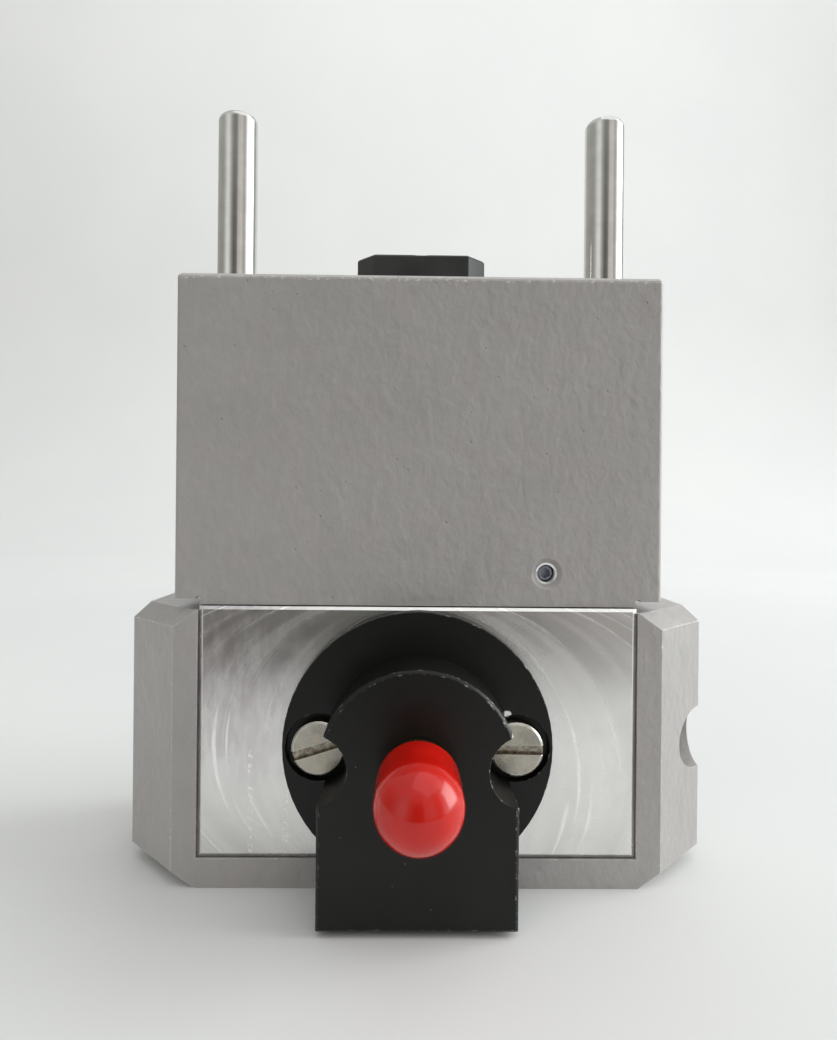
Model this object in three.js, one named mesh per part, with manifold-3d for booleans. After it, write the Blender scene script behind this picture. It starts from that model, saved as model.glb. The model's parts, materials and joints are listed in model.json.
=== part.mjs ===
// Pneumatic parallel gripper, standing on its base with its two finger pins up.
// Millimetres, +Z up. The origin is on the underside of the base, midway between its sides and
// its two faces. -Y is the front, which carries the inlet flange; the air port is in the +X side.
// Air lifts the piston, its double wedge rises, and the two slots draw the jaws inwards.

import * as THREE from 'three';
import { mergeVertices } from 'three/addons/utils/BufferGeometryUtils.js';
import Module from 'manifold-3d';

const wasm = await Module();
wasm.setup();

// ---------------------------------------------------------------- driving dimensions

const GAP = 0.3; // between pieces that rest on, or run in, each other
const STROKE = 8; // travel of the piston, and of each jaw

// base: a painted yoke, open at the top, around an aluminium cylinder block
const BASE_WIDTH = 83;
const BASE_DEPTH = 30;
const YOKE_HEIGHT = 37.3;
const YOKE_OPENING = 59.4;
const YOKE_FLOOR = 4;
const CORNER_BEVEL = 8.45; // 45 degree bevels down the four upright corners
const EDGE_CHAMFER = 2.2; // along the top and bottom edges of the sides and bevels
const BLOCK_TOP = 37.9;
const BLOCK_EDGE = 0.4;
const FRONT = -BASE_DEPTH / 2;
const YOKE_SCREW_X = 20; // countersunk screws that hold the block down in the yoke
const YOKE_SCREW = { head: 4, headHeight: 2.3, length: 12, sunk: 0.3 };
const YOKE_COUNTERSINK = { mouth: 4.9, depth: 2.7 };
const MOUNTING_HOLE = { x: 35, y: 7, radius: 2.1, depth: 10 }; // tapped, in the underside
const SPIGOT_SCREW_X = 24;
const SPIGOT_SCREW_Y = 4.2;
const SPIGOT_SCREW = { head: 3, headHeight: 1.7, length: 9, sunk: 0.15 };

// cylinder
const BORE_RADIUS = 10;
const BORE_FLOOR = 12;
const ROD_RADIUS = 3;
const PISTON_SKIRT = 24; // height of the underside of the piston's head
const PISTON_HEAD = 3;
const PISTON_LAND = 0.8; // above and below the seal's groove
const PISTON_TOP = PISTON_SKIRT + PISTON_HEAD;
const SEAL_MIDDLE = PISTON_SKIRT + PISTON_HEAD / 2;
const ROD_SOCKET = 2.6; // how far the rod enters the piston

// air port in the right side, and the inlet in the front
const PORT_RADIUS = 4.4;
const PORT_DEPTH = 9;
const PORT_Y = -6.65;
const PORT_Z = 18.2;
const PORT_SIDES = 32;
const AIRWAY_Y = -4;
const AIRWAY_RADIUS = 1.2;
const INLET_Z = 19.85;

// front flange: a round disc and an arched foot in one piece
const DISC_RADIUS = 17.8;
const DISC_FACE = FRONT - 2.5;
const FOOT_HALF_WIDTH = 12.15;
const FOOT_FACE = FRONT - 11.15;
const FOOT_UNDERSIDE = 0.7;
const FLANGE_SCREW_X = 12.95;
const COUNTERBORE_RADIUS = 4.4;
const COUNTERBORE_FLOOR = FRONT - 1.3;
const CHEESE_HEAD_RADIUS = 3.55;
const CHEESE_HEAD_HEIGHT = 1.7;
const CHEESE_HEAD_SLOT = { halfWidth: 0.6, depth: 0.8 };
const SLOT_ANGLES = { left: -0.3, right: 0.02 };
const NIPPLE_BORE = 1.2;
const NIPPLE_COLLAR = 4.2;

// dust cap over the inlet nipple
const CAP_RADIUS = 4.88;
const CAP_MOUTH = FRONT - 13.9;
const CAP_DOME_CENTRE = FRONT - 20.7;

// upper housing: a shell, open underneath
const HOUSING_WIDTH = 66.6;
const HOUSING_DEPTH = 28;
const HOUSING_BOTTOM = BLOCK_TOP + GAP;
const HOUSING_TOP = 83.1;
const HOUSING_END_WALL = 2.75;
const HOUSING_FACE_WALL = 2.5;
const HOUSING_ROOF = 3.1;
const HOUSING_EDGE = 0.4; // chamfer round the roof
const HOUSING_CORNER = 0.7; // radius down the upright edges
const END_REBATE = 0.55; // the ends of the housing stop this much higher
const END_REBATE_X = YOKE_OPENING / 2 + GAP;
const REBATE_RELIEF = 0.45; // radius in the corner of the rebate
const SET_SCREW_X = 17.5;
const SET_SCREW_Z = 42.5;
const SET_SCREW_RADIUS = 1.2; // across the roots of an M3 thread
const SET_SCREW_LENGTH = 3.7;
const SET_SCREW_SUNK = 1.5;

// jaws, finger pins and their guide rods
const FINGER_X = 28.6;
const FINGER_RADIUS = 3;
const FINGER_BOTTOM = 72.2;
const FINGER_TOP = 111.9;
const JAW_INNER = 20;
const JAW_BOTTOM = 50.5;
const JAW_TOP = 79.4;
const FORK_HALF_WIDTH = 2.3; // slot in each jaw for the wedge
const FORK_TOP = 68;
const TONGUE_INNER = 22;
const TONGUE_HALF_DEPTH = 5.85;
const TONGUE_BOTTOM = 69.5;
const TONGUE_TOP = 82.6;
const GUIDE_ROD_RADIUS = 2;
const GUIDE_ROD_Y = 7.6;
const GUIDE_ROD_Z = 66;
const BRACKET_HALF_WIDTH = 4.5;
const BRACKET_BOTTOM = 62.6;
const SPRING_RADIUS = 2.9;
const SPRING_WIRE = 0.45;
const SPRING_TURNS = 5;

// wedge, with a slot at 45 degrees for each jaw's roller
const WEDGE_HALF_THICKNESS = 1.9;
const WEDGE_BOTTOM = 41.4;
const WEDGE_BORDER = 4.8; // metal round the middle line of each roller slot, on each side
const WEDGE_FOOT = 19.5; // half width along the bottom
const WEDGE_SHOULDER = 12.5; // half width where the arms leave the boss
const BOSS_TOP = 49.6;
const BOSS_RADIUS = 5.8;
const NUT_RADIUS = 5.77; // across the corners
const NUT_HEIGHT = 3;
const ROD_TOP = BOSS_TOP + 4.2;
const ROLLER_X = 25;
const ROLLER_Z = 54.5;
const ROLLER_RADIUS = 2.5;
const ROLLER_PIN_RADIUS = 1.5;

// stop block between the fingers
const STOP_HALF_WIDTH = 9.5;
const STOP_HALF_DEPTH = 7;
const STOP_CORNER = [2.6, 2.6]; // cut off each upright corner, along its width and its depth
const STOP_TOP = 88.5;
const STOP_SCREW_Y = 3.8;
const STOP_SCREW_LENGTH = 10;

// screw sizes: shank radius of M3 and M4
const M3 = 1.5;
const M4 = 2;
const CAP_HEAD = { radius: 2.75, height: 3 };
const STOP_HEAD_SEAT = STOP_TOP - CAP_HEAD.height - GAP;

const CAVITY_HALF_WIDTH = HOUSING_WIDTH / 2 - HOUSING_END_WALL;
const CAVITY_HALF_DEPTH = HOUSING_DEPTH / 2 - HOUSING_FACE_WALL;
const ROOF_UNDERSIDE = HOUSING_TOP - HOUSING_ROOF;
const SPIGOT_FLOOR_TOP = 41;
const SPIGOT_TOP = 46.5;
const SPIGOT_LIP_Y = 7.6; // inner face of the two lips
const SPIGOT_LIP_X = 26;
const ROD_SEAL_POCKET = { radius: 5, depth: 1.5 };
const PAST = 1; // how far a cutting tool runs past the face it opens

// ---------------------------------------------------------------- solid helpers

function toSolid(geometry) {
  const bare = geometry.clone();
  bare.deleteAttribute('normal');
  bare.deleteAttribute('uv');
  const merged = mergeVertices(bare, 1e-4);
  const corners = merged.index.array;
  const kept = [];
  for (let i = 0; i < corners.length; i += 3) {
    const [a, b, c] = corners.slice(i, i + 3);
    if (a !== b && b !== c && c !== a) kept.push(a, b, c);
  }
  return new wasm.Manifold(new wasm.Mesh({
    numProp: 3,
    vertProperties: Float32Array.from(merged.attributes.position.array),
    triVerts: Uint32Array.from(kept),
  }));
}

function toGeometry(solid) {
  const mesh = solid.getMesh();
  const geometry = new THREE.BufferGeometry();
  geometry.setAttribute('position', new THREE.BufferAttribute(mesh.vertProperties, 3));
  geometry.setIndex(new THREE.BufferAttribute(mesh.triVerts, 1));
  geometry.computeVertexNormals();
  return geometry;
}

function join(...pieces) {
  return toGeometry(pieces.map(toSolid).reduce((whole, piece) => whole.add(piece)));
}

function cut(body, ...tools) {
  return toGeometry(tools.map(toSolid).reduce((left, tool) => left.subtract(tool), toSolid(body)));
}

function common(...pieces) {
  return toGeometry(pieces.map(toSolid).reduce((shared, piece) => shared.intersect(piece)));
}

// box between two heights or depths on each axis
function box([x0, x1], [y0, y1], [z0, z1]) {
  return new THREE.BoxGeometry(x1 - x0, y1 - y0, z1 - z0)
    .translate((x0 + x1) / 2, (y0 + y1) / 2, (z0 + z1) / 2);
}

// turns a shape made along Y to lie along the named axis
function along(axis, geometry) {
  if (axis === 'x') return geometry.rotateZ(-Math.PI / 2);
  if (axis === 'z') return geometry.rotateX(Math.PI / 2);
  return geometry;
}

// round bar along an axis, from one station to another, centred on the other two coordinates
function bar(axis, radius, [from, to], [u, v], sides = 24) {
  const geometry = along(axis, new THREE.CylinderGeometry(radius, radius, to - from, sides));
  const middle = (from + to) / 2;
  if (axis === 'x') return geometry.translate(middle, u, v);
  if (axis === 'y') return geometry.translate(u, middle, v);
  return geometry.translate(u, v, middle);
}

// body of revolution about an axis through the origin: [radius, station] pairs, anticlockwise
function turned(axis, profile, sides = 24) {
  const points = profile.map(([radius, station]) => new THREE.Vector2(radius, station));
  return along(axis, new THREE.LatheGeometry(points, sides));
}

// the outline of an XZ section, drawn through the depth from y0 to y1, with edges chamfered
function section(shape, [y0, y1], edge = 0) {
  return new THREE.ExtrudeGeometry(shape, {
    depth: y1 - y0 - 2 * edge,
    bevelEnabled: edge > 0,
    bevelThickness: edge,
    bevelSize: edge,
    bevelOffset: -edge,
    bevelSegments: 1,
    curveSegments: 12,
  }).rotateX(Math.PI / 2).translate(0, y1 - edge, 0);
}

// the outline of an XY plan, drawn up from z0 to z1, with edges chamfered
function plan(shape, [z0, z1], edge = 0) {
  return new THREE.ExtrudeGeometry(shape, {
    depth: z1 - z0 - 2 * edge,
    bevelEnabled: edge > 0,
    bevelThickness: edge,
    bevelSize: edge,
    bevelOffset: -edge,
    bevelSegments: 1,
    curveSegments: 4,
  }).translate(0, 0, z0 + edge);
}

function polygon(points) {
  return new THREE.Shape(points.map(([u, v]) => new THREE.Vector2(u, v)));
}

function rectangle([u0, u1], [v0, v1]) {
  return polygon([[u0, v0], [u1, v0], [u1, v1], [u0, v1]]);
}

function roundedRectangle(halfWidth, halfDepth, radius) {
  const shape = new THREE.Shape();
  const u = halfWidth - radius;
  const v = halfDepth - radius;
  shape.absarc(u, v, radius, 0, Math.PI / 2);
  shape.absarc(-u, v, radius, Math.PI / 2, Math.PI);
  shape.absarc(-u, -v, radius, Math.PI, 1.5 * Math.PI);
  shape.absarc(u, -v, radius, 1.5 * Math.PI, 2 * Math.PI);
  return shape;
}

function ring(axis, radius, thickness, [x, y, z]) {
  const torus = new THREE.TorusGeometry(radius, thickness, 6, 20);
  if (axis === 'x') torus.rotateY(Math.PI / 2);
  if (axis === 'y') torus.rotateX(Math.PI / 2);
  return torus.translate(x, y, z);
}

// ---------------------------------------------------------------- the assembly

const group = new THREE.Group();

const FINISH = {
  paint: { color: 0x8c8a86, roughness: 0.55, metalness: 0.1 },
  milledAluminium: { color: 0xb9b8b5, roughness: 0.3, metalness: 1 },
  blackAnodised: { color: 0x1b1b1c, roughness: 0.45, metalness: 0.4 },
  steel: { color: 0xb5b2a6, roughness: 0.3, metalness: 1 },
  polishedSteel: { color: 0xc8c8c6, roughness: 0.15, metalness: 1 },
  blackSteel: { color: 0x2a2a2b, roughness: 0.5, metalness: 0.8 },
  brass: { color: 0xb99a55, roughness: 0.35, metalness: 1 },
  rubber: { color: 0x161616, roughness: 0.8, metalness: 0 },
  redVinyl: { color: 0xd62018, roughness: 0.25, metalness: 0 },
};

function add(name, geometry, finish, position = [0, 0, 0]) {
  const mesh = new THREE.Mesh(geometry, new THREE.MeshStandardMaterial(FINISH[finish]));
  mesh.name = name;
  mesh.position.set(...position);
  group.add(mesh);
  return mesh;
}

const SIDES = [['left', -1], ['right', 1]];

// ---------------------------------------------------------------- base

// long bar of octagonal section: a block's width and height with its four long edges cut off
function chamferedBar(halfWidth) {
  const w = halfWidth;
  const c = EDGE_CHAMFER;
  const h = YOKE_HEIGHT;
  return section(
    polygon([[-w + c, 0], [w - c, 0], [w, c], [w, h - c], [w - c, h], [-w + c, h], [-w, h - c], [-w, c]]),
    [-BASE_WIDTH, BASE_WIDTH],
  );
}

function baseYoke() {
  const bevelDistance = (BASE_WIDTH / 2 + BASE_DEPTH / 2 - CORNER_BEVEL) * Math.SQRT1_2;
  const outer = common(
    box([-BASE_WIDTH / 2, BASE_WIDTH / 2], [FRONT, -FRONT], [0, YOKE_HEIGHT]),
    chamferedBar(BASE_WIDTH / 2),
    chamferedBar(bevelDistance).rotateZ(Math.PI / 4),
    chamferedBar(bevelDistance).rotateZ(-Math.PI / 4),
  );
  const opening = box(
    [-YOKE_OPENING / 2, YOKE_OPENING / 2],
    [FRONT - PAST, -FRONT + PAST],
    [YOKE_FLOOR, YOKE_HEIGHT + PAST],
  );
  const portFloor = BASE_WIDTH / 2 - PORT_DEPTH;
  const airwayPlace = [AIRWAY_Y, PORT_Z];
  const port = bar('x', PORT_RADIUS, [portFloor, BASE_WIDTH / 2 + PAST], [PORT_Y, PORT_Z], PORT_SIDES);
  const airway = bar('x', AIRWAY_RADIUS, [YOKE_OPENING / 2 - PAST, portFloor + PAST], airwayPlace, 12);
  const tools = [opening, port, airway];
  for (const [, side] of SIDES) {
    const { mouth, depth: foot } = YOKE_COUNTERSINK;
    tools.push(turned('z', [
      [0, -PAST], [mouth + PAST, -PAST], [mouth, 0], [M4 + GAP, foot],
      [M4 + GAP, YOKE_FLOOR + PAST], [0, YOKE_FLOOR + PAST],
    ]).translate(side * YOKE_SCREW_X, 0, 0));
    for (const end of [-1, 1]) {
      const { x, y, radius, depth } = MOUNTING_HOLE;
      tools.push(bar('z', radius, [-PAST, depth], [side * x, end * y], 16));
    }
  }
  return cut(outer, ...tools);
}

function cylinderBlock() {
  const halfWidth = YOKE_OPENING / 2 - GAP;
  const outer = section(
    rectangle([-halfWidth, halfWidth], [YOKE_FLOOR + GAP, BLOCK_TOP]),
    [FRONT, -FRONT],
    BLOCK_EDGE,
  );
  const tools = [
    bar('z', BORE_RADIUS, [BORE_FLOOR, BLOCK_TOP + PAST], [0, 0], 32),
    bar('y', 1.5, [FRONT - PAST, -BORE_RADIUS + PAST], [0, INLET_Z], 16),
    bar('x', AIRWAY_RADIUS, [BORE_RADIUS - PAST, halfWidth + PAST], [AIRWAY_Y, PORT_Z], 12),
    bar('x', 2.7, [halfWidth - 0.9, halfWidth + PAST], [AIRWAY_Y, PORT_Z], 24),
  ];
  for (const [, side] of SIDES) {
    tools.push(bar('y', M4 + GAP, [FRONT - PAST, -7], [side * FLANGE_SCREW_X, INLET_Z], 16));
    tools.push(bar('z', M4 + GAP, [0, 13], [side * YOKE_SCREW_X, 0], 16));
    for (const end of [-1, 1]) {
      const centre = [side * SPIGOT_SCREW_X, end * SPIGOT_SCREW_Y];
      tools.push(bar('z', M3 + GAP, [30, BLOCK_TOP + PAST], centre, 12));
    }
  }
  return cut(outer, ...tools);
}

// countersunk socket screw, head at z = 0 and shank upwards
function countersunkScrew(headRadius, headHeight, shank, length) {
  const body = turned('z', [
    [0, 0], [headRadius, 0], [headRadius, 0.3], [shank, headHeight], [shank, length], [0, length],
  ], 16);
  const socket = bar('z', headRadius * 0.38, [-PAST, headHeight * 0.6], [0, 0], 6);
  return cut(body, socket);
}

add('base_yoke', baseYoke(), 'paint');
add('cylinder_block', cylinderBlock(), 'milledAluminium');
add('airway_seal', ring('x', 1.95, 0.4, [YOKE_OPENING / 2 - GAP - 0.35, AIRWAY_Y, PORT_Z]), 'rubber');
for (const [name, side] of SIDES) {
  const { head, headHeight, length, sunk } = YOKE_SCREW;
  const screw = countersunkScrew(head, headHeight, M4, length);
  add(`yoke_screw_${name}`, screw, 'blackSteel', [side * YOKE_SCREW_X, 0, sunk]);
}

// ---------------------------------------------------------------- piston and wedge

function piston() {
  const top = PISTON_TOP;
  const r = BORE_RADIUS - GAP;
  const skirt = r - 2.7;
  const groove = r - 1.4;
  const socket = ROD_RADIUS + GAP;
  return turned('z', [
    [0, BORE_FLOOR + GAP], [skirt, BORE_FLOOR + GAP], [skirt, PISTON_SKIRT], [r, PISTON_SKIRT],
    [r, PISTON_SKIRT + PISTON_LAND], [groove, PISTON_SKIRT + PISTON_LAND],
    [groove, top - PISTON_LAND], [r, top - PISTON_LAND],
    [r, top], [socket, top], [socket, top - ROD_SOCKET], [0, top - ROD_SOCKET],
  ], 32);
}

function slotHole(from, to, radius) {
  const hole = new THREE.Path();
  const angle = Math.atan2(to[1] - from[1], to[0] - from[0]);
  hole.absarc(to[0], to[1], radius, angle - Math.PI / 2, angle + Math.PI / 2);
  hole.absarc(from[0], from[1], radius, angle + Math.PI / 2, angle + 1.5 * Math.PI);
  return hole;
}

function wedge() {
  const end = ROLLER_X + WEDGE_BORDER;
  const top = ROLLER_Z + WEDGE_BORDER;
  const right = [
    [WEDGE_FOOT, WEDGE_BOTTOM], [end, WEDGE_BOTTOM + end - WEDGE_FOOT], [end, top],
    [WEDGE_SHOULDER + top - BOSS_TOP, top], [WEDGE_SHOULDER, BOSS_TOP],
  ];
  const left = right.map(([x, z]) => [-x, z]).reverse();
  const outline = polygon([...right, ...left]);
  for (const [, side] of SIDES) {
    const outer = [side * ROLLER_X, ROLLER_Z];
    const inner = [side * (ROLLER_X - STROKE), ROLLER_Z - STROKE];
    outline.holes.push(slotHole(inner, outer, ROLLER_RADIUS + GAP));
  }
  const plate = section(outline, [-WEDGE_HALF_THICKNESS, WEDGE_HALF_THICKNESS]);
  const boss = bar('z', BOSS_RADIUS, [WEDGE_BOTTOM, BOSS_TOP], [0, 0], 24);
  const rodHole = bar('z', ROD_RADIUS + GAP, [WEDGE_BOTTOM - PAST, BOSS_TOP + PAST], [0, 0], 24);
  return cut(join(plate, boss), rodHole);
}

function rodNut() {
  const seat = BOSS_TOP + GAP;
  return cut(
    bar('z', NUT_RADIUS, [seat, seat + NUT_HEIGHT], [0, 0], 6),
    bar('z', ROD_RADIUS + GAP, [BOSS_TOP, seat + NUT_HEIGHT + PAST], [0, 0], 24),
  );
}

add('piston', piston(), 'milledAluminium');
add('piston_seal', ring('z', BORE_RADIUS - 0.85, 0.6, [0, 0, SEAL_MIDDLE]), 'rubber');
const rodFoot = PISTON_TOP - ROD_SOCKET + GAP;
add('piston_rod', bar('z', ROD_RADIUS, [rodFoot, ROD_TOP], [0, 0]), 'polishedSteel');
add('drive_wedge', wedge(), 'steel');
add('rod_nut', rodNut(), 'steel');

// ---------------------------------------------------------------- spigot plate

// closes the cylinder, seals the rod, and locates the housing between its two lips
function spigotPlate() {
  const halfWidth = CAVITY_HALF_WIDTH - GAP;
  const halfDepth = CAVITY_HALF_DEPTH - GAP;
  const floor = box([-halfWidth, halfWidth], [-halfDepth, halfDepth], [HOUSING_BOTTOM, SPIGOT_FLOOR_TOP]);
  const lips = [-1, 1].map((end) => box(
    [-SPIGOT_LIP_X, SPIGOT_LIP_X],
    end < 0 ? [-halfDepth, -SPIGOT_LIP_Y] : [SPIGOT_LIP_Y, halfDepth],
    [SPIGOT_FLOOR_TOP - PAST, SPIGOT_TOP],
  ));
  const tools = [
    bar('z', ROD_RADIUS + GAP, [HOUSING_BOTTOM - PAST, SPIGOT_TOP], [0, 0], 24),
    bar('z', ROD_SEAL_POCKET.radius, [HOUSING_BOTTOM - PAST, HOUSING_BOTTOM + ROD_SEAL_POCKET.depth], [0, 0]),
  ];
  const threadEnd = SPIGOT_LIP_Y + 0.9;
  const top = SPIGOT_FLOOR_TOP;
  const { head, headHeight } = SPIGOT_SCREW;
  for (const end of [-1, 1]) {
    const depths = end < 0 ? [-halfDepth - PAST, -threadEnd] : [threadEnd, halfDepth + PAST];
    tools.push(bar('y', SET_SCREW_RADIUS + GAP, depths, [-end * SET_SCREW_X, SET_SCREW_Z]));
    for (const [, side] of SIDES) {
      tools.push(turned('z', [
        [0, HOUSING_BOTTOM - PAST], [M3 + GAP, HOUSING_BOTTOM - PAST], [M3 + GAP, top - headHeight],
        [head + GAP, top - GAP], [head + GAP, top + PAST], [0, top + PAST],
      ], 16).translate(side * SPIGOT_SCREW_X, end * SPIGOT_SCREW_Y, 0));
    }
  }
  return cut(join(floor, ...lips), ...tools);
}

// set screw along Y, its socket facing -Y, from its socket face at y = 0
function setScrew(length) {
  const r = SET_SCREW_RADIUS;
  const body = turned('y', [
    [0, 0], [r - 0.2, 0], [r, 0.2], [r, length - 0.5], [r - 0.5, length], [0, length],
  ]);
  return cut(body, bar('y', 0.75, [-PAST, 1.4], [0, 0], 6));
}

add('spigot_plate', spigotPlate(), 'milledAluminium');
const sealHeight = HOUSING_BOTTOM + ROD_SEAL_POCKET.depth / 2;
add('rod_seal', ring('z', 4.1, 0.55, [0, 0, sealHeight]), 'rubber');
for (const [name, side] of SIDES) {
  for (const [face, end] of [['front', -1], ['rear', 1]]) {
    const { head, headHeight, length, sunk } = SPIGOT_SCREW;
    const screw = countersunkScrew(head, headHeight, M3, length).rotateX(Math.PI);
    const place = [side * SPIGOT_SCREW_X, end * SPIGOT_SCREW_Y, SPIGOT_FLOOR_TOP - sunk];
    add(`spigot_screw_${face}_${name}`, screw, 'blackSteel', place);
  }
}

// ---------------------------------------------------------------- upper housing

function upperHousing() {
  const halfWidth = HOUSING_WIDTH / 2;
  const halfDepth = HOUSING_DEPTH / 2;
  const outline = roundedRectangle(halfWidth, halfDepth, HOUSING_CORNER);
  const outer = join(
    plan(outline, [HOUSING_BOTTOM + 2, HOUSING_TOP], HOUSING_EDGE),
    plan(outline, [HOUSING_BOTTOM, HOUSING_TOP - 2]),
  );
  const tools = [box(
    [-CAVITY_HALF_WIDTH, CAVITY_HALF_WIDTH],
    [-CAVITY_HALF_DEPTH, CAVITY_HALF_DEPTH],
    [HOUSING_BOTTOM - PAST, ROOF_UNDERSIDE],
  )];
  const through = [-halfDepth - PAST, halfDepth + PAST];
  for (const [, side] of SIDES) {
    const span = (a, b) => (side < 0 ? [-b, -a] : [a, b]);
    const rebate = HOUSING_BOTTOM + END_REBATE;
    // rebate over the yoke's cheek, with a round relief in its corner
    tools.push(box(span(END_REBATE_X, halfWidth + PAST), through, [HOUSING_BOTTOM - PAST, rebate]));
    tools.push(bar('y', REBATE_RELIEF, through, [side * END_REBATE_X, rebate - 0.15], 12));
    // jaw slot, through the roof and out of the end
    tools.push(box(
      span(TONGUE_INNER - STROKE - GAP, halfWidth + PAST),
      [-TONGUE_HALF_DEPTH - GAP, TONGUE_HALF_DEPTH + GAP],
      [TONGUE_BOTTOM - GAP, HOUSING_TOP + PAST],
    ));
    for (const end of [-1, 1]) {
      const socket = span(CAVITY_HALF_WIDTH - PAST, CAVITY_HALF_WIDTH + 1.5);
      tools.push(bar('x', GUIDE_ROD_RADIUS + GAP, socket, [end * GUIDE_ROD_Y, GUIDE_ROD_Z], 20));
    }
  }
  for (const end of [-1, 1]) {
    const x = -end * SET_SCREW_X;
    const inside = end * (CAVITY_HALF_DEPTH - PAST);
    const outside = end * (halfDepth + PAST);
    const depths = [Math.min(inside, outside), Math.max(inside, outside)];
    const hole = SET_SCREW_RADIUS + GAP;
    tools.push(bar('y', hole, depths, [x, SET_SCREW_Z]));
    const countersink = turned('y', [[0, -0.6], [hole, -0.6], [2.2, 0.05], [2.2, 1], [0, 1]]);
    if (end < 0) countersink.rotateZ(Math.PI);
    tools.push(countersink.translate(x, end * halfDepth, SET_SCREW_Z));
    tools.push(bar('z', M3 + GAP, [ROOF_UNDERSIDE - PAST, HOUSING_TOP + PAST], [0, end * STOP_SCREW_Y], 16));
  }
  return cut(outer, ...tools);
}

add('upper_housing', upperHousing(), 'paint');
const setScrewFace = HOUSING_DEPTH / 2 - SET_SCREW_SUNK;
for (const [face, end] of [['front', -1], ['rear', 1]]) {
  const screw = setScrew(SET_SCREW_LENGTH).rotateZ(end < 0 ? 0 : Math.PI);
  const place = [-end * SET_SCREW_X, end * setScrewFace, SET_SCREW_Z];
  add(`housing_set_screw_${face}`, screw, 'blackSteel', place);
}

// ---------------------------------------------------------------- guide rods and bracket

function rodBracket() {
  const tools = [];
  const screwEnd = STOP_HEAD_SEAT - STOP_SCREW_LENGTH - 1.3;
  for (const end of [-1, 1]) {
    tools.push(bar(
      'x', GUIDE_ROD_RADIUS + GAP, [-BRACKET_HALF_WIDTH - PAST, BRACKET_HALF_WIDTH + PAST],
      [end * GUIDE_ROD_Y, GUIDE_ROD_Z], 20,
    ));
    tools.push(bar('z', M3 + GAP, [screwEnd, ROOF_UNDERSIDE + PAST], [0, end * STOP_SCREW_Y], 16));
  }
  const halfDepth = CAVITY_HALF_DEPTH - GAP;
  const block = box(
    [-BRACKET_HALF_WIDTH, BRACKET_HALF_WIDTH],
    [-halfDepth, halfDepth],
    [BRACKET_BOTTOM, ROOF_UNDERSIDE - GAP],
  );
  return cut(block, ...tools);
}

class Helix extends THREE.Curve {
  constructor(radius, from, to, turns) {
    super();
    Object.assign(this, { radius, from, to, turns });
  }

  getPoint(t, target = new THREE.Vector3()) {
    const angle = 2 * Math.PI * this.turns * t;
    const x = THREE.MathUtils.lerp(this.from, this.to, t);
    return target.set(x, this.radius * Math.cos(angle), this.radius * Math.sin(angle));
  }
}

function returnSpring(side) {
  const wire = new THREE.Shape();
  wire.absarc(0, 0, SPRING_WIRE, 0, 2 * Math.PI);
  const from = BRACKET_HALF_WIDTH + GAP + SPRING_WIRE;
  const to = JAW_INNER - GAP - SPRING_WIRE;
  const path = new Helix(SPRING_RADIUS, side * from, side * to, SPRING_TURNS);
  return new THREE.ExtrudeGeometry(wire, {
    steps: SPRING_TURNS * 10, curveSegments: 3, bevelEnabled: false, extrudePath: path,
  });
}

add('rod_bracket', rodBracket(), 'milledAluminium');
for (const [face, end] of [['front', -1], ['rear', 1]]) {
  const reach = CAVITY_HALF_WIDTH + 1.2;
  const rod = bar('x', GUIDE_ROD_RADIUS, [-reach, reach], [end * GUIDE_ROD_Y, GUIDE_ROD_Z], 20);
  add(`guide_rod_${face}`, rod, 'polishedSteel');
  for (const [name, side] of SIDES) {
    add(`jaw_spring_${face}_${name}`, returnSpring(side), 'steel', [0, end * GUIDE_ROD_Y, GUIDE_ROD_Z]);
  }
}

// ---------------------------------------------------------------- jaws and fingers

function jaw() {
  const halfDepth = CAVITY_HALF_DEPTH - 2 * GAP;
  const carriage = box(
    [JAW_INNER, CAVITY_HALF_WIDTH - 2 * GAP],
    [-halfDepth, halfDepth],
    [JAW_BOTTOM, JAW_TOP],
  );
  const tongue = box(
    [TONGUE_INNER, HOUSING_WIDTH / 2],
    [-TONGUE_HALF_DEPTH, TONGUE_HALF_DEPTH],
    [TONGUE_BOTTOM, TONGUE_TOP],
  );
  const fork = box(
    [JAW_INNER - PAST, CAVITY_HALF_WIDTH],
    [-FORK_HALF_WIDTH, FORK_HALF_WIDTH],
    [JAW_BOTTOM - PAST, FORK_TOP],
  );
  const fingerHole = bar(
    'z', FINGER_RADIUS + GAP, [FINGER_BOTTOM - GAP, TONGUE_TOP + PAST], [FINGER_X, 0], 32,
  );
  const rollerPinHole = bar(
    'y', ROLLER_PIN_RADIUS + GAP, [-HOUSING_DEPTH / 2, HOUSING_DEPTH / 2], [ROLLER_X, ROLLER_Z], 16,
  );
  const rodHoles = [-1, 1].map((end) => bar(
    'x', GUIDE_ROD_RADIUS + GAP, [JAW_INNER - PAST, CAVITY_HALF_WIDTH], [end * GUIDE_ROD_Y, GUIDE_ROD_Z], 20,
  ));
  return cut(join(carriage, tongue), fork, fingerHole, rollerPinHole, ...rodHoles);
}

// dowel pin, chamfered at the foot and rounded over at the tip
function fingerPin() {
  const r = FINGER_RADIUS;
  return turned('z', [
    [0, FINGER_BOTTOM], [r - 0.5, FINGER_BOTTOM], [r, FINGER_BOTTOM + 0.8], [r, FINGER_TOP - 0.9],
    [r - 0.25, FINGER_TOP - 0.35], [r - 0.9, FINGER_TOP], [0, FINGER_TOP],
  ], 24).translate(FINGER_X, 0, 0);
}

function roller() {
  return cut(
    bar('y', ROLLER_RADIUS, [-1.8, 1.8], [ROLLER_X, ROLLER_Z], 24),
    bar('y', ROLLER_PIN_RADIUS + GAP, [-3, 3], [ROLLER_X, ROLLER_Z], 16),
  );
}

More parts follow.
